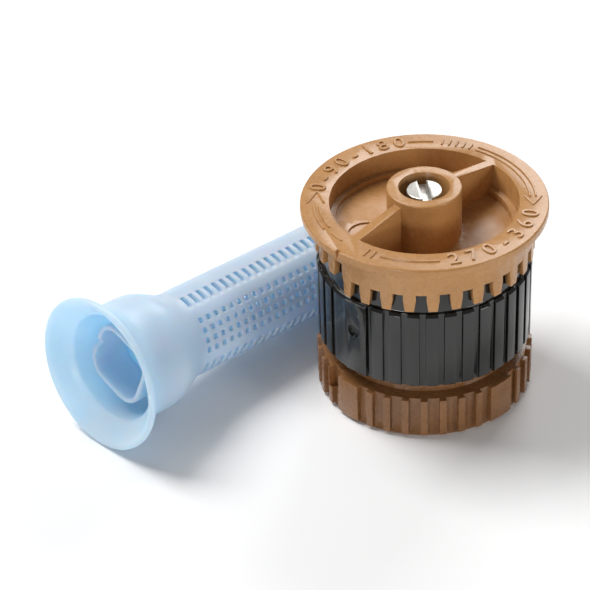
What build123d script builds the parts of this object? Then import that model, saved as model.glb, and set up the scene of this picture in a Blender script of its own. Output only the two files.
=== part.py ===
from build123d import *
import math
import os

# A variable-arc spray nozzle for a pop-up sprinkler riser, with its loose filter screen.
# Millimetres, +Z up. The origin is the centre of the riser thread's mouth, on the surface that the
# nozzle and the screen stand on. Angles run counterclockwise from +X, seen from above, in degrees.

# Clearances
running_gap = 0.05  # radial, between pieces that turn or slide on each other
seated_gap = 0.02  # between pieces that are held together
helix_gap = 0.04  # between the helical valve faces when the arc is shut
stop_gap = 0.4  # degrees between the collar's end stop and the deflector's step
neck_gap = 0.08  # collar skirt above the base ring with the arc fully open
overlap = 0.3  # how far a joined shape reaches into its neighbour

# Valve helix, shared by the deflector and the collar
lead = 1.5
seam_angle = 224.5

# Nozzle base: threaded ring, barrel, roof, tower and guide pins
base_ring_height = 4.38
base_ring_d = 20.0
rib_height = 0.5
lug_count = 4
lug_angle = 45.0
lug_width = 15.0
ribs_between_lugs = 7
rib_spacing = 10.0
rib_width = 3.6
gate_angle = 213.5
gate_width = 1.7
gate_depth = 0.35
rib_foot = 0.35
riser_bore_d = 15.8
riser_thread_length = 4.5
relief_d = 16.2
barrel_d = 17.6
roof_rise = 1.3  # roof underside above the collar's lower edge
roof_t = 1.2
port_count = 4
port_inner_d = 6.6
port_outer_d = 8.6
port_span = 68.0
port_angle = 45.0
tower_wall = 0.5
key_count = 3
key_width = 1.2
key_height = 0.5
guide_pin_d = 0.7
guide_pin_radius = 3.85
guide_pin_angles = (0.0, 180.0)

# Arc collar
collar_d = 20.7
collar_height = 8.34
collar_bore_d = 18.1
lip_d = 19.6
collar_chamfer = 0.25
flute_depth = 0.35
flute_width = 0.6
flute_count = 35
pad_start = 213.2
pad_end = 239.8
panel_angle = 231.5
panel_width = 2.5
panel_reach = 10.42
panel_depth = 0.5
dimple_angle = 230.2
dimple_d = 1.3
dimple_depth = 0.25
dimple_drop = 3.4
shelf_drop = 2.0
shelf_t = 0.8
shelf_bore_d = 11.4

# Thrust washer, spring and seals
washer_t = 0.8
washer_gap = 0.1
spring_wire_d = 0.4
spring_d = 14.2
spring_turns = 2
seal_section = 0.72
seal_groove_margin = 0.05

# Deflector
flange_d = 23.5
flange_t = 0.9
flange_edge = 0.18
pan_d = 18.0
flange_rise = 3.78  # top face above the sealing face
pan_depth = 4.4
pan_lead = 2.5
pan_floor_t = 0.6
pan_wall = 0.55
ledge_t = 0.6
skirt_d = 21.0
tooth_gap = 0.41  # lowest tooth tip above the collar's rim
tooth_height = 1.85
tooth_count = 30
tooth_first_angle = 226.5
tooth_t = 0.62
slot_top_width = 1.0
slot_mouth_width = 1.35
slot_shoulder = 0.35  # share of the tooth height where the slot starts to widen
seat_step = 0.06  # sealing face above the slot tops
web_angle = 225.5
web_t = 0.9
web_rise = 0.9
rim_notch_angle = 227.0
rim_notch_width = 0.6
rim_notch_depth = 0.35
hub_d = 7.12
hub_rise = 1.5
hub_edge = 0.15
pocket_d = 3.4
pocket_radius = 5.9
pocket_angle = 203.0
pocket_depth = 0.25
stem_d = 6.0
journal_d = 5.2
journal_length = 0.6  # stem below the roof
stem_groove_depth = 0.4
ring_t = 0.4
ring_outer_d = 6.4
ring_opening = 2.6

# Adjusting screw, throttle disc and clip
head_d = 3.4
head_height = 1.2
head_recess = 0.34
head_edge = 0.12
slot_angle = 100.2
slot_width = 0.85
slot_depth = 0.5
hub_bore_d = 4.92
hub_floor_gap = 0.26
shank_d = 2.0
screw_travel = 1.2
screw_seal_section = 0.68
disc_d = 8.0
disc_t = 0.8
disc_gap = 0.15
ear_d = 1.5
screw_journal_d = 1.4
clip_t = 0.3
clip_d = 2.6
clip_groove_d = 0.9
clip_opening = 1.0
tip_length = 0.25

# Filter screen, lying beside the nozzle
screen_length = 37.0
screen_lip_d = 15.5
screen_lip_t = 0.9
screen_collar_d = 11.7
screen_flare_length = 2.5
screen_collar_end = 6.5
screen_tube_start = 10.0
screen_tube_d = 8.8
screen_wall = 0.55
screen_neck_wall = 0.66
screen_end_t = 0.8
screen_lip_edge = 0.6
screen_end_radius = 0.6
dish_d = 11.8
dish_depth = 1.5
cup_mouth_d = 10.8
cup_mouth_depth = 1.9
cup_d = 10.4
cup_depth = 6.2
cup_floor_t = 0.7
chimney_side = 7.0
chimney_corner = 2.2
chimney_wall = 0.55
chimney_drop = 2.7
chimney_turn = 45.0
chimney_notch_angle = 224.0
chimney_notch_width = 0.7
chimney_notch_depth = 0.6
mesh_start = 10.6
mesh_pitch = 1.02
mesh_rows = 24
mesh_hole = 0.5
mesh_columns = (-1.5, -0.5, 0.5, 1.5)
mesh_slot_offset = 3.35
mesh_slot_width = 0.9
screen_x = -30.9
screen_y = -10.9
screen_heading = 47.5
screen_roll = 64.5

# Heights worked out from the sizes above
collar_bottom = base_ring_height + lead + neck_gap
collar_top = collar_bottom + collar_height
tip_z = collar_top + tooth_gap
slot_top_z = tip_z + tooth_height
seat_z = slot_top_z + seat_step
ledge_z = seat_z + ledge_t
flange_top = seat_z + flange_rise
pan_z = flange_top - pan_depth
pan_underside = pan_z - pan_floor_t
flange_bottom = flange_top - flange_t
hub_top = flange_top + hub_rise
roof_bottom = collar_bottom + roof_rise
roof_top = roof_bottom + roof_t
shelf_bottom = collar_top - shelf_drop
washer_top = shelf_bottom - seated_gap
washer_bottom = washer_top - washer_t
tower_top = washer_top + washer_gap
head_top = hub_top - head_recess
head_bottom = head_top - head_height
hub_floor = head_bottom - screw_travel - hub_floor_gap
screw_seal_z = hub_floor - screw_seal_section / 2
stem_end = roof_bottom - journal_length
ring_top = roof_bottom - seated_gap
disc_top = stem_end - disc_gap
disc_bottom = disc_top - disc_t
clip_top = disc_bottom - seated_gap
clip_bottom = clip_top - clip_t
screw_end = clip_bottom - tip_length

# Radii worked out from the sizes above
tower_inner = port_outer_d / 2
tower_outer = tower_inner + tower_wall
tooth_inner = skirt_d / 2 - tooth_t
pan_outer = collar_bore_d / 2 - 2 * running_gap


def direction(angle):
    """Horizontal unit vector at an angle from +X."""
    return Vector(math.cos(math.radians(angle)), math.sin(math.radians(angle)), 0)


def upright_plane(angle, radius, height):
    """Plane at a radius, facing outwards, with its y direction up."""
    point = direction(angle) * radius + Vector(0, 0, height)
    return Plane(origin=point, x_dir=direction(angle + 90), z_dir=direction(angle))


def helix_height(low_z, rise, angle):
    """Height of a helix that leaves the seam at low_z and rises one turn, at an angle."""
    return low_z + rise * ((angle - seam_angle) % 360) / 360


def ring(bottom, top, outer_r, inner_r, mode=Mode.ADD):
    """Add or cut a ring between two heights."""
    with BuildSketch(Plane.XY.offset(bottom)) as profile:
        Circle(outer_r)
        if inner_r > 0:
            Circle(inner_r, mode=Mode.SUBTRACT)
    extrude(profile.sketch, amount=top - bottom, mode=mode)


def rounded_ring(bottom, top, outer_r, inner_r, edge, both_edges):
    """Add a ring whose outer edge is rounded at the top, or at the top and the bottom."""
    with BuildSketch(Plane.XZ) as profile:
        with Locations((inner_r, bottom)):
            Rectangle(outer_r - inner_r, top - bottom, align=(Align.MIN, Align.MIN))
        corners = profile.vertices().group_by(Axis.X)[-1].sort_by(Axis.Z)
        fillet(corners if both_edges else corners[-1], edge)
    revolve(profile.sketch, axis=Axis.Z)


def cut_along_helix(seam, low_z, rise, inner_r, outer_r, height):
    """Cut one turn above (height > 0) or below (height < 0) a helical face, in two half turns."""
    side = Align.MIN if height > 0 else Align.MAX
    for half in (0, 1):
        outward = direction(seam + 180 * half)
        turn = Plane(origin=(0, 0, low_z + half * rise / 2), x_dir=outward, z_dir=(0, 0, 1))
        with BuildLine() as half_turn:
            Helix(rise, rise / 2, (inner_r + outer_r) / 2)
        path = turn.from_local_coords(half_turn.line)
        with BuildSketch(Plane(origin=path @ 0, x_dir=-outward, z_dir=path % 0)) as band:
            Rectangle(outer_r - inner_r, abs(height), align=(Align.CENTER, side))
        sweep(band.sketch, path=path, is_frenet=True, mode=Mode.SUBTRACT)


def o_ring(height, inner_r, section):
    """Add a rubber ring of round section round the nozzle's axis."""
    with BuildSketch(Plane.XZ) as profile:
        with Locations((inner_r + section / 2, height)):
            Circle(section / 2)
    revolve(profile.sketch, axis=Axis.Z)


os.makedirs("parts", exist_ok=True)

# Nozzle base: ribbed ring with the riser bore, barrel and roof, and the tower that carries the stem
with BuildPart() as nozzle_base:
    ring(0, base_ring_height, base_ring_d / 2, 0)
    ring(0, roof_top, barrel_d / 2, 0)
    ring(0, riser_thread_length, riser_bore_d / 2, 0, mode=Mode.SUBTRACT)
    ring(riser_thread_length, roof_bottom, relief_d / 2, 0, mode=Mode.SUBTRACT)
    ring(roof_bottom, roof_top, journal_d / 2 + seated_gap, 0, mode=Mode.SUBTRACT)
    rib_reach = base_ring_d / 2 + rib_height
    rib_angles = []
    for lug in range(lug_count):
        centre = lug_angle + lug * 360 / lug_count
        rib_angles.append((centre, lug_width))
        first = centre + 180 / lug_count - rib_spacing * (ribs_between_lugs - 1) / 2
        for rib in range(ribs_between_lugs):
            rib_angles.append((first + rib * rib_spacing, rib_width))
    for angle, width in rib_angles:
        with BuildSketch(Plane.XY.offset(rib_foot)):
            Circle(rib_reach)
            Circle(base_ring_d / 2 - overlap, mode=Mode.SUBTRACT)
            with BuildLine():
                Polyline(
                    (0, 0),
                    direction(angle - width / 2) * flange_d,
                    direction(angle + width / 2) * flange_d,
                    close=True,
                )
            make_face(mode=Mode.INTERSECT)
        extrude(amount=base_ring_height - rib_foot)
    with BuildSketch(upright_plane(gate_angle, base_ring_d / 2 - gate_depth, base_ring_height)):
        Rectangle(gate_width, base_ring_height / 2, align=(Align.CENTER, Align.MAX))
    extrude(amount=rib_height + gate_depth + overlap, mode=Mode.SUBTRACT)
    # Water ports between the stem's bearing and the tower
    with BuildSketch(Plane.XY.offset(roof_bottom)):
        for port in range(port_count):
            with BuildLine():
                middle = port * 360 / port_count + port_angle
                first = middle - port_span / 2
                CenterArc((0, 0), port_outer_d / 2, first, port_span)
                CenterArc((0, 0), port_inner_d / 2, first, port_span)
                Line(direction(first) * port_inner_d / 2, direction(first) * port_outer_d / 2)
                last = first + port_span
                Line(direction(last) * port_inner_d / 2, direction(last) * port_outer_d / 2)
            make_face()
    extrude(amount=roof_t, mode=Mode.SUBTRACT)
    # Tower with three outside keys for the thrust washer
    ring(roof_top - overlap, tower_top, tower_outer, tower_inner)
    for key in range(key_count):
        key_angle = key * 360 / key_count
        with BuildSketch(upright_plane(key_angle, tower_outer - tower_wall / 2, roof_top - overlap)):
            Rectangle(key_width, tower_top - roof_top + overlap, align=(Align.CENTER, Align.MIN))
        extrude(amount=key_height + tower_wall / 2)
    # Two pins under the roof keep the throttle disc from turning
    for angle in guide_pin_angles:
        with BuildSketch(Plane.XY.offset(disc_bottom - screw_travel)):
            with Locations(direction(angle) * guide_pin_radius):
                Circle(guide_pin_d / 2)
        extrude(amount=roof_bottom + overlap - disc_bottom + screw_travel)
    # Groove in the barrel for the collar seal
    seal_depth = seal_section + seal_groove_margin
    seal_middle = (roof_bottom + roof_top) / 2
    ring(
        seal_middle - seal_depth / 2,
        seal_middle + seal_depth / 2,
        barrel_d / 2 + overlap,
        collar_bore_d / 2 - seal_depth,
        mode=Mode.SUBTRACT,
    )

# Deflector: rim, toothed skirt, two pan wells with a helical floor, hub, two webs and the stem
with BuildPart() as tooth_ring:
    ring(tip_z - overlap, flange_bottom + overlap, skirt_d / 2, tooth_inner)
    tool_depth = lead + 2 * overlap
    cut_along_helix(seam_angle, tip_z, lead, tooth_inner - overlap, skirt_d / 2 + overlap, -tool_depth)
    for tooth in range(tooth_count):
        angle = tooth_first_angle + (tooth + 0.5) * 360 / tooth_count
        top = helix_height(slot_top_z, lead, angle)
        shoulder = -tooth_height * slot_shoulder
        mouth = -tooth_height - lead
        with BuildSketch(upright_plane(angle, tooth_inner - overlap / 2, top)):
            with BuildLine():
                Polyline(
                    (-slot_top_width / 2, 0),
                    (slot_top_width / 2, 0),
                    (slot_top_width / 2, shoulder),
                    (slot_mouth_width / 2, -tooth_height),
                    (slot_mouth_width / 2, mouth),
                    (-slot_mouth_width / 2, mouth),
                    (-slot_mouth_width / 2, -tooth_height),
                    (-slot_top_width / 2, shoulder),
                    close=True,
                )
            make_face()
        extrude(amount=tooth_t + overlap, mode=Mode.SUBTRACT)

with BuildPart() as deflector:
    hollow_r = journal_d / 2 - overlap
    tool_inner = hollow_r - overlap
    tool_outer = pan_d / 2 + 2 * overlap
    pan_tool_depth = pan_lead + 2 * overlap
    ring(pan_underside - overlap, ledge_z + lead + overlap, pan_d / 2 + overlap, hollow_r)
    cut_along_helix(seam_angle, ledge_z, lead, tool_inner, tool_outer, tool_depth)
    cut_along_helix(seam_angle, pan_z, pan_lead, tool_inner, pan_outer - pan_wall, lead)
    # Webs on one diameter, highest beside the hub
    for angle in (web_angle, web_angle + 180):
        web_plane = Plane(origin=(0, 0, 0), x_dir=direction(angle), z_dir=direction(angle - 90))
        with BuildSketch(web_plane):
            with BuildLine():
                Polyline(
                    (stem_d / 2, pan_underside - overlap),
                    (pan_d / 2 + overlap, pan_underside - overlap),
                    (pan_d / 2 + overlap, flange_top),
                    (pan_d / 2, flange_top),
                    (hub_d / 2 + overlap, flange_top + web_rise),
                    (stem_d / 2, flange_top + web_rise),
                    close=True,
                )
            make_face()
        extrude(amount=web_t / 2, both=True)
    cut_along_helix(seam_angle, pan_underside, pan_lead, tool_inner, tool_outer, -pan_tool_depth)
    # Rim wall, with the sealing face under it
    ring(seat_z - overlap, flange_top, skirt_d / 2, pan_d / 2)
    cut_along_helix(seam_angle, seat_z, lead, pan_outer, skirt_d / 2 + overlap, -pan_tool_depth)
    add(tooth_ring.part)
    rounded_ring(flange_bottom, flange_top, flange_d / 2, pan_d / 2, flange_edge, True)
    with BuildSketch(upright_plane(rim_notch_angle, flange_d / 2, flange_top)):
        with BuildLine():
            Polyline(
                (-rim_notch_width / 2, overlap),
                (rim_notch_width / 2, overlap),
                (0, -flange_t),
                close=True,
            )
        make_face()
    extrude(amount=-rim_notch_depth, both=True, mode=Mode.SUBTRACT)
    # Shallow round pocket in the higher part of the pan's floor
    pocket_floor = helix_height(pan_z, pan_lead, pocket_angle) - pocket_depth
    with BuildSketch(Plane.XY.offset(pocket_floor)):
        with Locations(direction(pocket_angle) * pocket_radius):
            Circle(pocket_d / 2)
    extrude(amount=pocket_depth + overlap, mode=Mode.SUBTRACT)
    # Hub and stem
    rounded_ring(pan_z - pan_floor_t / 2, hub_top, hub_d / 2, 0, hub_edge, False)
    ring(roof_top + seated_gap, seat_z + overlap, stem_d / 2, 0)
    ring(stem_end, roof_top + overlap, journal_d / 2, 0)
    ring(
        ring_top - ring_t - seated_gap,
        ring_top,
        journal_d / 2 + overlap,
        journal_d / 2 - stem_groove_depth,
        mode=Mode.SUBTRACT,
    )
    # Stepped bore: screw head, screw seal, shank
    ring(hub_floor, hub_top, hub_bore_d / 2, 0, mode=Mode.SUBTRACT)
    seal_pocket_r = shank_d / 2 + screw_seal_section + seated_gap * 2
    ring(hub_floor - screw_seal_section - seated_gap, hub_floor, seal_pocket_r, 0, mode=Mode.SUBTRACT)
    ring(stem_end, hub_floor, shank_d / 2 + running_gap, 0, mode=Mode.SUBTRACT)

# Arc collar: fluted grip, inner shelf and the helical lip that opens and shuts the arc
with BuildPart() as lip:
    ring(collar_top - overlap, seat_z + lead + overlap, lip_d / 2, collar_bore_d / 2)
    lip_seam = seam_angle - stop_gap
    lip_z = seat_z - helix_gap
    cut_along_helix(lip_seam, lip_z, lead, collar_bore_d / 2 - overlap, lip_d / 2 + overlap, tool_depth)

with BuildPart() as arc_collar:
    ring(collar_bottom, collar_top, collar_d / 2, collar_bore_d / 2)
    outer_edges = edges().filter_by(GeomType.CIRCLE).filter_by(lambda e: e.radius > collar_bore_d / 2)
    chamfer(outer_edges, collar_chamfer)
    # Narrow grooves all round, apart from the smooth pad
    flute_step = (pad_start + 360 - pad_end) / (flute_count - 1)
    for flute in range(flute_count):
        angle = pad_end + flute * flute_step
        with BuildSketch(upright_plane(angle, collar_d / 2 - flute_depth, collar_bottom)):
            Rectangle(flute_width, collar_height, align=(Align.CENTER, Align.MIN))
        extrude(amount=flute_depth + overlap, mode=Mode.SUBTRACT)
    # Flat panel on the pad, with a round dimple
    with BuildSketch(upright_plane(panel_angle, panel_reach, collar_bottom + collar_chamfer)):
        Rectangle(panel_width, collar_height - 2 * collar_chamfer, align=(Align.CENTER, Align.MIN))
    extrude(amount=-panel_depth)
    with BuildSketch(upright_plane(dimple_angle, panel_reach - dimple_depth, collar_top - dimple_drop)):
        Circle(dimple_d / 2)
    extrude(amount=dimple_depth + overlap, mode=Mode.SUBTRACT)
    add(lip.part)
    ring(shelf_bottom, shelf_bottom + shelf_t, collar_bore_d / 2 + overlap, shelf_bore_d / 2)

# Thrust washer: keyed on the tower, it carries the collar up and down
with BuildPart() as thrust_washer:
    ring(washer_bottom, washer_top, collar_bore_d / 2 - 2 * running_gap, tower_outer + running_gap)
    for key in range(key_count):
        with BuildSketch(upright_plane(key * 360 / key_count, tower_outer - tower_wall, washer_bottom)):
            Rectangle(key_width + 2 * running_gap, washer_t, align=(Align.CENTER, Align.MIN))
        extrude(amount=key_height + tower_wall + running_gap, mode=Mode.SUBTRACT)

# Coil spring between the roof and the washer
with BuildPart() as collar_spring:
    spring_low = roof_top + seated_gap + spring_wire_d / 2
    spring_rise = washer_bottom - seated_gap - spring_wire_d / 2 - spring_low
    with BuildLine(Plane.XY.offset(spring_low)) as coil:
        Helix(spring_rise / spring_turns, spring_rise, spring_d / 2)
    with BuildSketch(Plane(origin=coil.line @ 0, z_dir=coil.line % 0)):
        Circle(spring_wire_d / 2)
    sweep(path=coil.line, is_frenet=True)

# Rubber rings: one between the barrel and the collar, one round the screw
with BuildPart() as collar_seal:
    o_ring(seal_middle, collar_bore_d / 2 - seated_gap - seal_section, seal_section)

with BuildPart() as screw_seal:
    o_ring(screw_seal_z, shank_d / 2 + seated_gap, screw_seal_section)


def open_ring(bottom, thickness, outer_r, inner_r, opening):
    """Add a flat retaining ring with an opening towards +Y."""
    ring(bottom, bottom + thickness, outer_r, inner_r)
    with BuildSketch(Plane.XY.offset(bottom)) as gap:
        Rectangle(opening, 2 * outer_r, align=(Align.CENTER, Align.MIN))
    extrude(gap.sketch, amount=thickness, mode=Mode.SUBTRACT)


# Ring that keeps the stem in the base
with BuildPart() as retaining_ring:
    ring_inner = journal_d / 2 - stem_groove_depth + seated_gap
    open_ring(ring_top - ring_t, ring_t - seated_gap, ring_outer_d / 2, ring_inner, ring_opening)

# Throttle disc: slides on the two pins and carries the end of the screw
with BuildPart() as throttle_disc:
    with BuildSketch(Plane.XY.offset(disc_bottom)):
        Circle(disc_d / 2)
        with Locations([direction(angle) * guide_pin_radius for angle in guide_pin_angles]):
            Circle(ear_d / 2)
        with Locations([direction(angle) * guide_pin_radius for angle in guide_pin_angles]):
            Circle(guide_pin_d / 2 + running_gap, mode=Mode.SUBTRACT)
        Circle(screw_journal_d / 2 + running_gap, mode=Mode.SUBTRACT)
    extrude(amount=disc_t)

# Adjusting screw: slotted head in the hub, shank down the stem, journal through the disc
with BuildPart() as adjusting_screw:
    rounded_ring(head_bottom, head_top, head_d / 2, 0, head_edge, False)
    ring(disc_top + seated_gap, head_bottom + overlap, shank_d / 2, 0)
    ring(screw_end, disc_top + overlap, screw_journal_d / 2, 0)
    ring(
        clip_bottom - seated_gap,
        clip_top + seated_gap / 2,
        screw_journal_d / 2 + overlap,
        clip_groove_d / 2,
        mode=Mode.SUBTRACT,
    )
    slot_plane = Plane(origin=(0, 0, head_top), x_dir=direction(slot_angle), z_dir=(0, 0, 1))
    with BuildSketch(slot_plane):
        Rectangle(head_d + overlap, slot_width)
    extrude(amount=-slot_depth, mode=Mode.SUBTRACT)

with BuildPart() as screw_clip:
    open_ring(clip_bottom, clip_t, clip_d / 2, clip_groove_d / 2 + seated_gap, clip_opening)

# Filter screen. Its own axis runs from the mouth to the closed end; it lies on its lip and its end.
rest_length = screen_length - screen_end_radius - screen_lip_t
rest_tilt = math.atan((screen_lip_d - screen_tube_d) / 2 / rest_length)
mouth_height = screen_lip_d / 2 * math.cos(rest_tilt) + screen_lip_t * math.sin(rest_tilt)
screen_axis = direction(screen_heading) * math.cos(rest_tilt) - Vector(0, 0, math.sin(rest_tilt))
screen_right = direction(screen_heading - 90)
screen_up = screen_right.cross(screen_axis)
roll = math.radians(screen_roll)
screen_front = screen_up * math.cos(roll) + screen_right * math.sin(roll)
screen_mouth = Plane(origin=(screen_x, screen_y, mouth_height), x_dir=screen_front, z_dir=screen_axis)
screen_section = Plane(origin=screen_mouth.origin, x_dir=screen_front, z_dir=-screen_mouth.y_dir)
tube_r = screen_tube_d / 2
bore_r = tube_r - screen_wall
cup_end = cup_depth + cup_floor_t

with BuildPart() as filter_screen:
    with BuildSketch(screen_section):
        with BuildLine():
            Polyline(
                (0, 0),
                (screen_lip_d / 2, 0),
                (screen_lip_d / 2, screen_lip_t),
                (screen_collar_d / 2, screen_flare_length),
                (screen_collar_d / 2, screen_collar_end),
                (tube_r, screen_tube_start),
                (tube_r, screen_length - screen_end_radius),
                (tube_r - screen_end_radius, screen_length),
                (0, screen_length),
                close=True,
            )
        make_face()
    revolve(axis=Axis(screen_mouth.origin, screen_axis))
    # Shallow dish and deep cup at the mouth
    with BuildSketch(screen_section):
        with BuildLine():
            Polyline(
                (0, 0),
                (screen_lip_d / 2 - screen_lip_edge, 0),
                (dish_d / 2, dish_depth),
                (cup_mouth_d / 2, cup_mouth_depth),
                (cup_d / 2, cup_depth),
                (0, cup_depth),
                close=True,
            )
        make_face()
    revolve(axis=Axis(screen_mouth.origin, screen_axis), mode=Mode.SUBTRACT)
    # Square chimney standing in the cup
    with BuildSketch(screen_mouth.offset(chimney_drop)):
        RectangleRounded(chimney_side, chimney_side, chimney_corner, rotation=chimney_turn)
    extrude(amount=cup_depth - chimney_drop + cup_floor_t / 2)
    with BuildSketch(screen_mouth.offset(chimney_drop)):
        inner_side = chimney_side - 2 * chimney_wall
        RectangleRounded(inner_side, inner_side, chimney_corner - chimney_wall, rotation=chimney_turn)
    extrude(amount=cup_end - chimney_drop + cup_floor_t, mode=Mode.SUBTRACT)
    notch_out = screen_mouth.offset(chimney_drop).rotated((0, 0, chimney_notch_angle))
    with BuildSketch(notch_out):
        with Locations((chimney_side / 2, 0)):
            Rectangle(chimney_side / 2, chimney_notch_width)
    extrude(amount=chimney_notch_depth, mode=Mode.SUBTRACT)
    # Inside of the tube
    taper = (screen_collar_d / 2 - tube_r) / (screen_tube_start - screen_collar_end)
    bore_top_r = screen_collar_d / 2 - screen_neck_wall - taper * (cup_end - screen_collar_end)
    with BuildSketch(screen_section):
        with BuildLine():
            Polyline(
                (0, cup_end),
                (bore_top_r, cup_end),
                (bore_r, screen_tube_start),
                (bore_r, screen_length - screen_end_t),
                (0, screen_length - screen_end_t),
                close=True,
            )
        make_face()
    revolve(axis=Axis(screen_mouth.origin, screen_axis), mode=Mode.SUBTRACT)
    # Square holes in four rows and a slot each side of them, straight through both walls
    mesh_plane = Plane(
        origin=screen_mouth.origin + screen_axis * (mesh_start + mesh_pitch * (mesh_rows - 1) / 2),
        x_dir=screen_axis,
        z_dir=screen_front,
    )
    with BuildSketch(mesh_plane):
        for column in mesh_columns:
            with Locations((0, column)):
                with GridLocations(mesh_pitch, mesh_pitch, mesh_rows, 1):
                    Rectangle(mesh_hole, mesh_hole)
        for column in (-mesh_slot_offset, mesh_slot_offset):
            with Locations((0, column)):
                with GridLocations(mesh_pitch, mesh_pitch, mesh_rows, 1):
                    Rectangle(mesh_hole, mesh_slot_width)
    extrude(amount=screen_tube_d, both=True, mode=Mode.SUBTRACT)

nozzle_base.part.label = "nozzle_base"
export_step(nozzle_base.part, "parts/nozzle_base.step")
deflector.part.label = "deflector"
export_step(deflector.part, "parts/deflector.step")
arc_collar.part.label = "arc_collar"
export_step(arc_collar.part, "parts/arc_collar.step")
thrust_washer.part.label = "thrust_washer"
export_step(thrust_washer.part, "parts/thrust_washer.step")
collar_spring.part.label = "collar_spring"
export_step(collar_spring.part, "parts/collar_spring.step")
collar_seal.part.label = "collar_seal"
export_step(collar_seal.part, "parts/collar_seal.step")
screw_seal.part.label = "screw_seal"
export_step(screw_seal.part, "parts/screw_seal.step")
retaining_ring.part.label = "retaining_ring"
export_step(retaining_ring.part, "parts/retaining_ring.step")
throttle_disc.part.label = "throttle_disc"
export_step(throttle_disc.part, "parts/throttle_disc.step")
adjusting_screw.part.label = "adjusting_screw"
export_step(adjusting_screw.part, "parts/adjusting_screw.step")
screw_clip.part.label = "screw_clip"
export_step(screw_clip.part, "parts/screw_clip.step")
filter_screen.part.label = "filter_screen"
export_step(filter_screen.part, "parts/filter_screen.step")
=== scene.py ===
import math
import bmesh
import bpy
from mathutils import Matrix, Vector


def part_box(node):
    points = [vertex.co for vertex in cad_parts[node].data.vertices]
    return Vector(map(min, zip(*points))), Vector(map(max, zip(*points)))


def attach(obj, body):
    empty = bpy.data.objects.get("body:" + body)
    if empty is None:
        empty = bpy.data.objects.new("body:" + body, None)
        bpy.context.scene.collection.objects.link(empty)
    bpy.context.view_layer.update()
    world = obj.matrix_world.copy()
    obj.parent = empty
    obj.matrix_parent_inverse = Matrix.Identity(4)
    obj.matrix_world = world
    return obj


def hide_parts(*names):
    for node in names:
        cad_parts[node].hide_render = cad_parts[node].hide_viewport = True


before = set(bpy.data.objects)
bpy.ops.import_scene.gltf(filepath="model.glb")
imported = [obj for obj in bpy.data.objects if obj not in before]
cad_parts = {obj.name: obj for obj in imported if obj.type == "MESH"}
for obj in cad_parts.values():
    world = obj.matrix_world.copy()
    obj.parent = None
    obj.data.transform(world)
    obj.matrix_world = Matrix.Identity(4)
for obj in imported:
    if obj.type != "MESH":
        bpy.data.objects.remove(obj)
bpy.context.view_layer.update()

MM = 0.001  # every size below is given in millimetres times this

# Level of the rim's top face, worked out from the top of the hub in the CAD model
HUB_RISE = 1.5 * MM
deflector_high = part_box("deflector")[1]
flange_top = deflector_high.z - HUB_RISE


# ---------------------------------------------------------------- materials


def new_material(name):
    """An empty node material with its output, and its tree."""
    material = bpy.data.materials.new(name)
    material.use_nodes = True
    tree = material.node_tree
    tree.nodes.clear()
    output = tree.nodes.new("ShaderNodeOutputMaterial")
    return material, tree, output


def link(tree, source, target):
    tree.links.new(source, target)


def noise(tree, scale, detail=4.0, roughness=0.5):
    """A noise texture in object space; scale is in waves per metre."""
    coordinates = tree.nodes.new("ShaderNodeTexCoord")
    texture = tree.nodes.new("ShaderNodeTexNoise")
    texture.inputs["Scale"].default_value = scale
    texture.inputs["Detail"].default_value = detail
    texture.inputs["Roughness"].default_value = roughness
    link(tree, coordinates.outputs["Object"], texture.inputs["Vector"])
    return texture.outputs["Fac"]


def ramp(tree, source, low, high, start=0.3, end=0.7):
    """A colour ramp from low to high over part of the source's range."""
    node = tree.nodes.new("ShaderNodeValToRGB")
    node.color_ramp.elements[0].position = start
    node.color_ramp.elements[0].color = (*low, 1)
    node.color_ramp.elements[1].position = end
    node.color_ramp.elements[1].color = (*high, 1)
    link(tree, source, node.inputs["Fac"])
    return node.outputs["Color"]


def spread(tree, source, low, high):
    """Map a 0 to 1 value onto low to high."""
    node = tree.nodes.new("ShaderNodeMapRange")
    node.inputs["To Min"].default_value = low
    node.inputs["To Max"].default_value = high
    link(tree, source, node.inputs["Value"])
    return node.outputs["Result"]


def bump(tree, source, distance, strength=1.0):
    node = tree.nodes.new("ShaderNodeBump")
    node.inputs["Distance"].default_value = distance
    node.inputs["Strength"].default_value = strength
    link(tree, source, node.inputs["Height"])
    return node.outputs["Normal"]


def moulded_plastic(name, colour, pale, rough, grain, subsurface=0.0, coat=0.0):
    """Injection-moulded plastic: slightly mottled colour, uneven gloss and a fine skin texture."""
    material, tree, output = new_material(name)
    shader = tree.nodes.new("ShaderNodeBsdfPrincipled")
    mottle = noise(tree, 350.0, 5.0)
    link(tree, ramp(tree, mottle, colour, pale), shader.inputs["Base Color"])
    gloss = noise(tree, 1400.0, 3.0)
    link(tree, spread(tree, gloss, rough - 0.07, rough + 0.09), shader.inputs["Roughness"])
    skin = noise(tree, 5200.0, 3.0, 0.6)
    link(tree, bump(tree, skin, grain), shader.inputs["Normal"])
    shader.inputs["Subsurface Weight"].default_value = subsurface
    shader.inputs["Subsurface Radius"].default_value = (1.0, 0.45, 0.2)
    shader.inputs["Subsurface Scale"].default_value = 0.9 * MM
    shader.inputs["Coat Weight"].default_value = coat
    shader.inputs["Coat Roughness"].default_value = 0.12
    link(tree, shader.outputs["BSDF"], output.inputs["Surface"])
    return material


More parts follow.
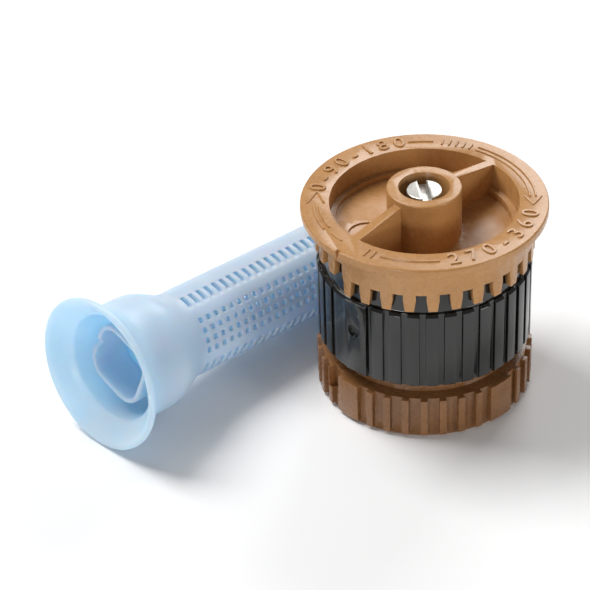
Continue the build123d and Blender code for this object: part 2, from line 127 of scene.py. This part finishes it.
def bright_steel(name, rough, brush):
    """Stainless steel with turning marks and small scratches."""
    material, tree, output = new_material(name)
    shader = tree.nodes.new("ShaderNodeBsdfPrincipled")
    shader.inputs["Metallic"].default_value = 1.0
    stains = noise(tree, 900.0, 4.0)
    steel = ramp(tree, stains, (0.34, 0.33, 0.30), (0.58, 0.57, 0.53))
    link(tree, steel, shader.inputs["Base Color"])
    marks = noise(tree, 3500.0, 6.0, 0.7)
    link(tree, spread(tree, marks, rough - 0.08, rough + 0.16), shader.inputs["Roughness"])
    link(tree, bump(tree, marks, brush), shader.inputs["Normal"])
    link(tree, shader.outputs["BSDF"], output.inputs["Surface"])
    return material


def rubber(name):
    """Matt black rubber with a faint bloom."""
    material, tree, output = new_material(name)
    shader = tree.nodes.new("ShaderNodeBsdfPrincipled")
    bloom = noise(tree, 1200.0, 5.0)
    link(tree, ramp(tree, bloom, (0.012, 0.012, 0.012), (0.04, 0.04, 0.038)), shader.inputs["Base Color"])
    link(tree, spread(tree, bloom, 0.55, 0.8), shader.inputs["Roughness"])
    link(tree, bump(tree, bloom, 0.01 * MM), shader.inputs["Normal"])
    link(tree, shader.outputs["BSDF"], output.inputs["Surface"])
    return material


def translucent_blue(name):
    """Thin translucent polypropylene: pale skin over a body that lets light through."""
    material, tree, output = new_material(name)
    shader = tree.nodes.new("ShaderNodeBsdfPrincipled")
    cloud = noise(tree, 260.0, 4.0)
    body = ramp(tree, cloud, (0.76, 0.88, 0.955), (0.82, 0.915, 0.97))
    link(tree, body, shader.inputs["Base Color"])
    gloss = noise(tree, 1100.0, 3.0)
    link(tree, spread(tree, gloss, 0.24, 0.40), shader.inputs["Roughness"])
    skin = noise(tree, 4200.0, 3.0, 0.6)
    link(tree, bump(tree, skin, 0.004 * MM), shader.inputs["Normal"])
    shader.inputs["Subsurface Weight"].default_value = 0.7
    shader.inputs["Subsurface Radius"].default_value = (0.6, 1.1, 1.8)
    shader.inputs["Subsurface Scale"].default_value = 1.2 * MM
    shader.inputs["Specular IOR Level"].default_value = 0.45
    glow = tree.nodes.new("ShaderNodeBsdfTranslucent")
    link(tree, ramp(tree, cloud, (0.46, 0.75, 0.97), (0.54, 0.80, 0.99)), glow.inputs["Color"])
    mix = tree.nodes.new("ShaderNodeMixShader")
    mix.inputs["Fac"].default_value = 0.42
    link(tree, shader.outputs["BSDF"], mix.inputs[1])
    link(tree, glow.outputs["BSDF"], mix.inputs[2])
    link(tree, mix.outputs["Shader"], output.inputs["Surface"])
    return material


tan_plastic = moulded_plastic(
    "tan_acetal", (0.40, 0.195, 0.064), (0.47, 0.240, 0.086), 0.27, 0.006 * MM, subsurface=0.05
)
brown_plastic = moulded_plastic(
    "brown_plastic", (0.200, 0.088, 0.030), (0.25, 0.115, 0.042), 0.27, 0.008 * MM, subsurface=0.1
)
black_plastic = moulded_plastic(
    "black_plastic", (0.004, 0.004, 0.0035), (0.008, 0.008, 0.007), 0.16, 0.003 * MM, coat=0.4
)
natural_plastic = moulded_plastic(
    "natural_acetal", (0.66, 0.65, 0.60), (0.76, 0.75, 0.70), 0.4, 0.006 * MM, subsurface=0.3
)
screw_steel = bright_steel("screw_steel", 0.3, 0.012 * MM)
spring_steel = bright_steel("spring_steel", 0.26, 0.006 * MM)
seal_rubber = rubber("seal_rubber")
blue_plastic = translucent_blue("screen_blue")

cad_materials = {
    "thrust_washer": natural_plastic,
    "throttle_disc": natural_plastic,
    "collar_spring": spring_steel,
    "retaining_ring": spring_steel,
    "screw_clip": spring_steel,
    "collar_seal": seal_rubber,
    "screw_seal": seal_rubber,
}
for node, material in cad_materials.items():
    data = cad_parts[node].data
    data.materials.clear()
    data.materials.append(material)


# ---------------------------------------------------------------- mesh helpers

MERGE_DISTANCE = 0.0005 * MM
FLAT_ANGLE = math.radians(0.4)  # neighbouring triangles below this angle are joined into one face
SHARP_ANGLE = math.radians(32)  # edges above this angle are rounded


def mesh_object(name, mesh, material, body):
    """Link a mesh as a piece with this material that rides on a CAD body."""
    piece = bpy.data.objects.new(name, mesh)
    bpy.context.scene.collection.objects.link(piece)
    mesh.materials.clear()
    mesh.materials.append(material)
    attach(piece, body)
    return piece


def bevelled_copy(node, name, material, body, width):
    """The CAD shape again with its sharp edges rounded, standing for the CAD node."""
    shape = bmesh.new()
    shape.from_mesh(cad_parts[node].data)
    bmesh.ops.remove_doubles(shape, verts=shape.verts, dist=MERGE_DISTANCE)
    bmesh.ops.dissolve_limit(shape, angle_limit=FLAT_ANGLE, verts=shape.verts, edges=shape.edges)
    for face in shape.faces:
        face.smooth = True
    mesh = bpy.data.meshes.new(name)
    shape.to_mesh(mesh)
    shape.free()
    piece = mesh_object(name, mesh, material, body)
    rounding = piece.modifiers.new("edges", "BEVEL")
    rounding.width = width
    rounding.segments = 2
    rounding.limit_method = "ANGLE"
    rounding.angle_limit = SHARP_ANGLE
    rounding.harden_normals = True
    rounding.miter_outer = "MITER_ARC"
    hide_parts(node)
    return piece


bevelled_copy(
    "deflector", "deflector_shell", tan_plastic, "nozzle_body", 0.07 * MM
)
bevelled_copy("arc_collar", "arc_collar_shell", black_plastic, "collar", 0.10 * MM)
bevelled_copy(
    "nozzle_base", "nozzle_base_shell", brown_plastic, "nozzle_body", 0.08 * MM
)
bevelled_copy("adjusting_screw", "adjusting_screw_shell", screw_steel, "screw", 0.03 * MM)


# ---------------------------------------------------------------- dial marks on the rim

MARK_HEIGHT = 0.13 * MM
MARK_WIDTH = 0.24 * MM
MARK_SINK = 0.03 * MM
MARK_TOP_SHARE = 0.28  # half the stroke's top width, as a share of its foot
MARK_EDGE = 0.03 * MM
DIAL_R = 10.25 * MM
LINE_OFFSET = 0.28 * MM
LONG_TICK = (9.7 * MM, 10.8 * MM)
SHORT_TICK = (9.8 * MM, 10.7 * MM)
DIGIT_SIZE = 2.3 * MM
DIGIT_DEPTH = 0.08 * MM
DIGIT_EDGE = 0.02 * MM
DIGIT_LIFT = 0.04 * MM


def on_rim(angle, radius):
    """A point on the rim's top face."""
    turn = math.radians(angle)
    return Vector((radius * math.cos(turn), radius * math.sin(turn), 0))


def add_stroke(shape, points, width=MARK_WIDTH):
    """Add one raised stroke with sloping sides along a line of points on the rim."""
    rows = []
    last = len(points) - 1
    for index, point in enumerate(points):
        ahead = points[min(index + 1, last)] - points[max(index - 1, 0)]
        side = Vector((-ahead.y, ahead.x, 0)).normalized()
        low = Vector((0, 0, flange_top - MARK_SINK))
        high = Vector((0, 0, flange_top + MARK_HEIGHT))
        row = [
            point + side * width / 2 + low,
            point + side * width * MARK_TOP_SHARE + high,
            point - side * width * MARK_TOP_SHARE + high,
            point - side * width / 2 + low,
        ]
        rows.append([shape.verts.new(corner) for corner in row])
    for first, second in zip(rows, rows[1:]):
        for corner in range(3):
            shape.faces.new((first[corner], first[corner + 1], second[corner + 1], second[corner]))
        shape.faces.new((first[3], first[0], second[0], second[3]))
    shape.faces.new(rows[0])
    shape.faces.new(reversed(rows[-1]))


def arc_points(start, end, radius, step=1.5):
    count = max(2, round(abs(end - start) / step) + 1)
    return [on_rim(start + (end - start) * i / (count - 1), radius) for i in range(count)]


def add_arc(shape, start, end, radius):
    add_stroke(shape, arc_points(start, end, radius))


def add_arrow_head(shape, tip_angle, direction, length=8.0, half_width=0.8 * MM):
    """Two strokes that meet at the tip; direction is +1 counterclockwise, -1 clockwise."""
    for side in (-1, 1):
        back = on_rim(tip_angle - direction * length, DIAL_R + side * half_width)
        add_stroke(shape, [on_rim(tip_angle, DIAL_R), back])


def mark_object(name, shape):
    bmesh.ops.recalc_face_normals(shape, faces=shape.faces)
    mesh = bpy.data.meshes.new(name)
    shape.to_mesh(mesh)
    shape.free()
    piece = mesh_object(name, mesh, tan_plastic, "nozzle_body")
    rounding = piece.modifiers.new("edges", "BEVEL")
    rounding.width = MARK_EDGE
    rounding.segments = 2
    rounding.limit_method = "ANGLE"
    return piece


lines = bmesh.new()
add_arc(lines, 85, 99, DIAL_R)
for offset in (-LINE_OFFSET, LINE_OFFSET):
    add_arc(lines, 3, 60, DIAL_R + offset)
    add_arc(lines, 187, 208, DIAL_R + offset)
add_arrow_head(lines, 355, -1)
add_arrow_head(lines, 172, -1, length=11.0)
add_arc(lines, 213, 222, DIAL_R)
add_arc(lines, 247, 278, DIAL_R)
mark_object("dial_lines", lines)

ticks = bmesh.new()
for angle in (239, 243):
    add_stroke(ticks, [on_rim(angle, radius) for radius in LONG_TICK])
for angle in (64, 68, 72, 76, 80):
    add_stroke(ticks, [on_rim(angle, radius) for radius in SHORT_TICK])
mark_object("dial_ticks", ticks)


def add_digits(name, text, middle, step, tops_out):
    """Raised digits spaced round the rim, their tops towards or away from the hub."""
    total = step * (len(text) - 1)
    shape = bmesh.new()
    for index, sign in enumerate(text):
        reading = -1 if tops_out else 1
        angle = middle + reading * (index * step - total / 2)
        curve = bpy.data.curves.new(name + "_sign", "FONT")
        curve.body = sign
        curve.size = DIGIT_SIZE
        curve.align_x = "CENTER"
        curve.align_y = "CENTER"
        curve.extrude = DIGIT_DEPTH
        curve.bevel_depth = DIGIT_EDGE
        curve.bevel_resolution = 1
        holder = bpy.data.objects.new(name + "_sign", curve)
        bpy.context.scene.collection.objects.link(holder)
        bpy.context.view_layer.update()
        evaluated = holder.evaluated_get(bpy.context.evaluated_depsgraph_get())
        glyph = bpy.data.meshes.new_from_object(evaluated)
        bpy.data.objects.remove(holder)
        facing = angle - 90 if tops_out else angle + 90
        place = on_rim(angle, DIAL_R) + Vector((0, 0, flange_top + DIGIT_LIFT))
        glyph.transform(Matrix.Translation(place) @ Matrix.Rotation(math.radians(facing), 4, "Z"))
        shape.from_mesh(glyph)
        bpy.data.meshes.remove(glyph)
    mesh = bpy.data.meshes.new(name)
    shape.to_mesh(mesh)
    shape.free()
    return mesh_object(name, mesh, tan_plastic, "nozzle_body")


add_digits("dial_numbers_low", "0-90-180", 136, 9.2, True)
add_digits("dial_numbers_high", "270-360", 316, 10.2, False)


# ---------------------------------------------------------------- filter screen

SCREEN_LENGTH = 37.0 * MM
LIP_R = 7.75 * MM
LIP_T = 0.9 * MM
NECK_R = 5.85 * MM
TUBE_R = 4.4 * MM
TUBE_START = 10.0 * MM
FLARE_START = 0.7 * MM
FLARE_LENGTH = 3.1 * MM
FLARE_INSET = 0.12 * MM  # the trumpet starts this far inside the lip's edge
FLARE_POWER = 2.1
TAPER_START = 6.0 * MM
TAPER_RUN_ON = 0.3 * MM  # the taper ends this far past the tube's start
WALL = 0.55 * MM
BORE_R = TUBE_R - WALL
END_WALL = 1.5 * WALL
# Rounded lip: millimetres from the mouth, then how far inside the lip's radius
LIP_PROFILE = ((0.0, 0.28), (0.10, 0.04), (0.38, 0.0), (0.64, 0.06))
# Millimetres from the mouth where the trumpet, neck and taper get a ring
OUTER_PLACES = (0.95, 1.3, 1.7, 2.2, 2.8, 3.5, 4.4, 5.4, 6.2, 7.0, 7.8, 8.6, 9.4, 10.0)
# Profiles in millimetres from the mouth: how far in, then the radius
CUP_PROFILE = ((5.8, 5.21), (4.8, 5.26), (3.8, 5.31), (2.9, 5.35), (2.2, 5.39), (1.98, 5.42))
DISH_PROFILE = (
    (1.84, 5.52), (1.64, 5.75), (1.5, 5.92), (1.38, 6.04), (0.95, 6.40), (0.5, 6.78), (0.14, 7.12)
)
CUP_DEPTH = 6.2 * MM
CUP_FLOOR = 6.9 * MM
CHIMNEY_HALF = 3.5 * MM
CHIMNEY_CORNER = 2.2 * MM
CHIMNEY_WALL = 0.55 * MM
CHIMNEY_TOP = 2.7 * MM
CHIMNEY_EDGE = 0.14 * MM
CHIMNEY_FOOT = 0.25 * MM
EDGE_DROP = 0.12 * MM
NOTCH_ANGLE = math.radians(224.0)
NOTCH_HALF_ANGLE = math.radians(7)
NOTCH_REACH = 3.3 * MM  # rings this near the mouth are lowered in the notch
NOTCH_DROP = 0.5 * MM
END_RADIUS = 0.6 * MM
MESH_START = 10.6 * MM
MESH_PITCH = 1.02 * MM
MESH_ROWS = 24
HOLE = 0.5 * MM
COLUMNS = (-1.5 * MM, -0.5 * MM, 0.5 * MM, 1.5 * MM)
SLOT_INNER = 2.9 * MM
SLOT_OUTER = 3.8 * MM
CORNER_ANGLE = math.radians(60)
HOLE_CREASE = 0.55
HEADING = math.radians(47.5)
ROLL = math.radians(64.5)
MOUTH_X = -30.9 * MM
MOUTH_Y = -10.9 * MM


def screen_matrix():
    """Place of the screen: local +Z from the mouth to the closed end, +X through the square holes."""
    rest_length = SCREEN_LENGTH - END_RADIUS - LIP_T
    tilt = math.atan((LIP_R - TUBE_R) / rest_length)
    height = LIP_R * math.cos(tilt) + LIP_T * math.sin(tilt)
    level = Vector((math.cos(HEADING), math.sin(HEADING), 0))
    along = level * math.cos(tilt) - Vector((0, 0, math.sin(tilt)))
    right = Vector((math.sin(HEADING), -math.cos(HEADING), 0))
    up = right.cross(along)
    front = up * math.cos(ROLL) + right * math.sin(ROLL)
    side = along.cross(front)
    matrix = Matrix((front, side, along)).transposed().to_4x4()
    matrix.translation = Vector((MOUTH_X, MOUTH_Y, height))
    return matrix


def column_angles(radius):
    """Angles round the screen, with an edge at each side of every hole and slot at this radius."""
    near_columns = [column for column in COLUMNS if column > 0]
    hole_edges = [edge for column in near_columns for edge in (column - HOLE / 2, column + HOLE / 2)]
    quarter = [math.asin(edge / radius) for edge in hole_edges]
    slot_start, slot_end = math.asin(SLOT_INNER / radius), math.asin(SLOT_OUTER / radius)
    gap = (slot_start - quarter[-1]) / 3
    quarter += [quarter[-1] + gap, quarter[-1] + 2 * gap]
    quarter += [slot_start + (slot_end - slot_start) * i / 3 for i in range(4)]
    quarter += [slot_end + (math.pi / 2 - slot_end) * i / 4 for i in (1, 2, 3)]
    half = [-a for a in reversed(quarter)] + quarter + [math.pi / 2]
    return half + [a + math.pi for a in half]


def is_hole(column, per_half):
    """True where the cell after this column is open in a mesh row."""
    place = column % per_half
    middle = (per_half - 1) // 2 - 1  # last column below zero
    holes = (middle + 1, middle + 3, middle - 1, middle - 3)
    slots = [middle + 7 + i for i in range(3)] + [middle - 7 - i for i in range(3)]
    return place in holes or place in slots


def square_radius(angle, half, corner):
    """Radius of a rounded square whose corners point along +X and +Y."""
    turn = (angle - math.pi / 4) % (math.pi / 2)
    turn = turn if turn <= math.pi / 4 else math.pi / 2 - turn
    flat = half / math.cos(turn)
    if flat * math.sin(turn) <= half - corner:
        return flat
    centre = math.sqrt(2) * (half - corner)
    off = math.pi / 4 - turn
    return centre * math.cos(off) + math.sqrt(max(0.0, corner**2 - (centre * math.sin(off)) ** 2))


def smooth_step(t):
    t = min(max(t, 0.0), 1.0)
    return t * t * (3 - 2 * t)


def outer_radius(s):
    """Outside of the screen behind its lip: trumpet, neck, then the taper to the tube."""
    flare = max(0.0, 1 - (s - FLARE_START) / FLARE_LENGTH)
    radius = NECK_R + (LIP_R - FLARE_INSET - NECK_R) * flare**FLARE_POWER
    taper = smooth_step((s - TAPER_START) / (TUBE_START + TAPER_RUN_ON - TAPER_START))
    return radius - (NECK_R - TUBE_R) * taper


def screen_rings():
    """Rings of the closed shell, from the lip outside to the end, back inside and out of the mouth."""
    rows = [MESH_START + MESH_PITCH * row for row in range(MESH_ROWS)]
    edges = [place for row in rows for place in (row - HOLE / 2, row + HOLE / 2)]
    rings = [("round", LIP_R - inset * MM, place * MM) for place, inset in LIP_PROFILE]
    for place in OUTER_PLACES:
        rings.append(("round", outer_radius(place * MM), place * MM))
    rings += [("outside", TUBE_R, place) for place in edges]
    end = SCREEN_LENGTH
    rings += [("round", TUBE_R, end - 1.1 * MM), ("round", TUBE_R, end - END_RADIUS)]
    rings += [("round", TUBE_R - 0.16 * MM, end - 0.16 * MM), ("round", TUBE_R - 0.55 * MM, end)]
    rings += [("round", 2.4 * MM, end), ("round", 0.9 * MM, end), ("turn", 0.0, end)]
    floor = end - END_WALL
    rings += [("round", 0.9 * MM, floor), ("round", 2.4 * MM, floor)]
    rings += [("round", BORE_R - 0.3 * MM, floor), ("round", BORE_R, floor - 0.3 * MM)]
    rings += [("inside", BORE_R, place) for place in reversed(edges)]
    rings += [("round", BORE_R + 0.05 * MM, 9.8 * MM), ("round", 4.3 * MM, 8.6 * MM)]
    rings += [("round", 4.55 * MM, 7.4 * MM), ("round", 4.3 * MM, CUP_FLOOR + 0.05 * MM)]
    inner = CHIMNEY_HALF - CHIMNEY_WALL
    inner_corner = CHIMNEY_CORNER - CHIMNEY_WALL
    edge = CHIMNEY_EDGE
    below_top = CHIMNEY_TOP + EDGE_DROP
    for place in (CUP_FLOOR, 6.4 * MM, 4.8 * MM, 3.4 * MM, below_top):
        rings.append(("square", (inner, inner_corner), place))
    rings.append(("square", (inner + edge, inner_corner + edge), CHIMNEY_TOP))
    rings.append(("square", (CHIMNEY_HALF - edge, CHIMNEY_CORNER - edge), CHIMNEY_TOP))
    for place in (below_top, 3.4 * MM, 4.8 * MM, CUP_DEPTH - CHIMNEY_FOOT):
        rings.append(("square", (CHIMNEY_HALF, CHIMNEY_CORNER), place))
    rings += [("round", 4.5 * MM, CUP_DEPTH), ("round", 4.95 * MM, CUP_DEPTH - 0.05 * MM)]
    for place, radius in CUP_PROFILE + DISH_PROFILE:
        rings.append(("round", radius * MM, place * MM))
    return rings


def filter_screen():
    """The screen as one closed shell whose mesh holes go straight through both walls."""
    shape = bmesh.new()
    crease = shape.edges.layers.float.new("crease_edge")
    outside = column_angles(TUBE_R)
    inside = column_angles(BORE_R)
    per_half = len(outside) // 2
    rows = []
    for kind, size, place in screen_rings():
        angles = inside if kind == "inside" else outside
        if kind == "turn":
            rows.append(None)
            continue
        row = []
        for angle in angles:
            radius = square_radius(angle, *size) if kind == "square" else size
            drop = place
            off = abs((angle - NOTCH_ANGLE + math.pi) % (2 * math.pi) - math.pi)
            if kind == "square" and off < NOTCH_HALF_ANGLE and place < NOTCH_REACH:
                drop = place + NOTCH_DROP
            row.append(shape.verts.new((radius * math.cos(angle), radius * math.sin(angle), drop)))
        rows.append((kind, row))
    count = len(outside)
    open_cells = {"outside": [], "inside": []}
    closed = rows + rows[:1]
    for first, second in zip(closed, closed[1:]):
        if first is None:
            continue
        if second is None:
            shape.faces.new(reversed(first[1]))
            continue
        mesh_row = first[0] == second[0] and first[0] in open_cells
        place = abs(first[1][0].co.z - second[1][0].co.z)
        in_hole_row = mesh_row and abs(place - HOLE) < 0.01 * MM
        for column in range(count):
            following = (column + 1) % count
            corners = (first[1][column], first[1][following], second[1][following], second[1][column])
            if in_hole_row and is_hole(column, per_half):
                open_cells[first[0]].append((column, min(corners[0].co.z, corners[3].co.z), corners))
            else:
                shape.faces.new(corners)
    after_turn = rows.index(None) + 1
    shape.faces.new(rows[after_turn][1])
    # Walls of the holes join the outside cell to the inside cell
    partner = {(column, round(low / MM, 3)): corners for column, low, corners in open_cells["inside"]}
    for column, low, outer in open_cells["outside"]:
        inner = partner[(column, round(low / MM, 3))]
        ends = ((outer[0], outer[1]), (outer[1], outer[2]), (outer[2], outer[3]), (outer[3], outer[0]))
        match = ((inner[3], inner[2]), (inner[2], inner[1]), (inner[1], inner[0]), (inner[0], inner[3]))
        for (a, b), (c, d) in zip(ends, match):
            edge = shape.edges.get((a, b))
            if edge is None or not edge.link_faces:
                continue
            shape.faces.new((a, b, d, c))
    bmesh.ops.recalc_face_normals(shape, faces=shape.faces)
    for edge in shape.edges:
        if len(edge.link_faces) == 2 and edge.calc_face_angle(0) > CORNER_ANGLE:
            middle = (edge.verts[0].co.z + edge.verts[1].co.z) / 2
            if MESH_START - HOLE < middle < MESH_START + MESH_PITCH * MESH_ROWS:
                edge[crease] = HOLE_CREASE
    for face in shape.faces:
        face.smooth = True
    shape.transform(screen_matrix())
    mesh = bpy.data.meshes.new("filter_screen_shell")
    shape.to_mesh(mesh)
    shape.free()
    piece = mesh_object("filter_screen_shell", mesh, blue_plastic, "screen")
    smoothing = piece.modifiers.new("smooth", "SUBSURF")
    smoothing.levels = 2
    smoothing.render_levels = 2
    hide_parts("filter_screen")
    return piece


filter_screen()


# ---------------------------------------------------------------- floor, light and camera

FLOOR_HALF = 1.5  # metres
FLOOR_GAP = 0.02 * MM
WORLD_STRENGTH = 0.19
LIGHT_AIM = (-0.008, 0.0, 0.01)
# Name, place in metres, side in metres and power in watts of each soft box
LIGHTS = (
    ("key", (-0.20, 0.10, 0.34), 0.20, 1.5),
    ("fill", (0.34, -0.20, 0.10), 0.12, 0.46),
    ("front", (-0.16, -0.38, 0.07), 0.07, 0.40),
    ("back", (0.10, 0.34, 0.24), 0.20, 0.7),
)


def stage_floor():
    shape = bmesh.new()
    bmesh.ops.create_grid(shape, x_segments=2, y_segments=2, size=FLOOR_HALF)
    mesh = bpy.data.meshes.new("floor")
    shape.to_mesh(mesh)
    shape.free()
    floor = bpy.data.objects.new("floor", mesh)
    floor.location.z = -FLOOR_GAP
    bpy.context.scene.collection.objects.link(floor)
    material, tree, output = new_material("floor_white")
    shader = tree.nodes.new("ShaderNodeBsdfPrincipled")
    shader.inputs["Base Color"].default_value = (0.92, 0.92, 0.92, 1)
    shader.inputs["Roughness"].default_value = 0.7
    link(tree, shader.outputs["BSDF"], output.inputs["Surface"])
    mesh.materials.append(material)


def area_light(name, place, target, size, power):
    """A square soft box that looks at a target."""
    data = bpy.data.lights.new(name, "AREA")
    data.size = size
    data.energy = power
    lamp = bpy.data.objects.new(name, data)
    lamp.location = place
    lamp.rotation_euler = (Vector(target) - Vector(place)).to_track_quat("-Z", "Y").to_euler()
    bpy.context.scene.collection.objects.link(lamp)


def studio():
    world = bpy.data.worlds.new("studio")
    world.use_nodes = True
    background = world.node_tree.nodes["Background"]
    background.inputs["Color"].default_value = (1.0, 1.0, 1.0, 1)
    background.inputs["Strength"].default_value = WORLD_STRENGTH
    bpy.context.scene.world = world
    for name, place, size, power in LIGHTS:
        area_light(name, place, LIGHT_AIM, size, power)


CAMERA_PITCH = math.radians(35.59)
CAMERA_DISTANCE = 242.1 * MM
CAMERA_AIM_HEIGHT = 10.0 * MM
CAMERA_PAN = math.radians(2.96)
CAMERA_TILT = math.radians(0.13)
CAMERA_LENS = 152.5  # millimetres, as is the sensor's width
CAMERA_SENSOR = 36.0
CAMERA_CLIP = 0.01  # metres


def camera():
    """The camera stands square to the nozzle's axis and is panned to its left."""
    data = bpy.data.cameras.new("camera")
    data.lens = CAMERA_LENS
    data.sensor_width = CAMERA_SENSOR
    data.clip_start = CAMERA_CLIP
    holder = bpy.data.objects.new("camera", data)
    bpy.context.scene.collection.objects.link(holder)
    back = Vector((0, -math.cos(CAMERA_PITCH), math.sin(CAMERA_PITCH)))
    place = Matrix.Translation(back * CAMERA_DISTANCE + Vector((0, 0, CAMERA_AIM_HEIGHT)))
    level = Matrix.Rotation(math.pi / 2 - CAMERA_PITCH, 4, "X")
    pan = Matrix.Rotation(CAMERA_PAN, 4, "Y")
    tilt = Matrix.Rotation(-CAMERA_TILT, 4, "X")
    holder.matrix_world = place @ level @ pan @ tilt
    bpy.context.scene.camera = holder


stage_floor()
studio()
camera()
bpy.context.scene.view_settings.view_transform = "Standard"
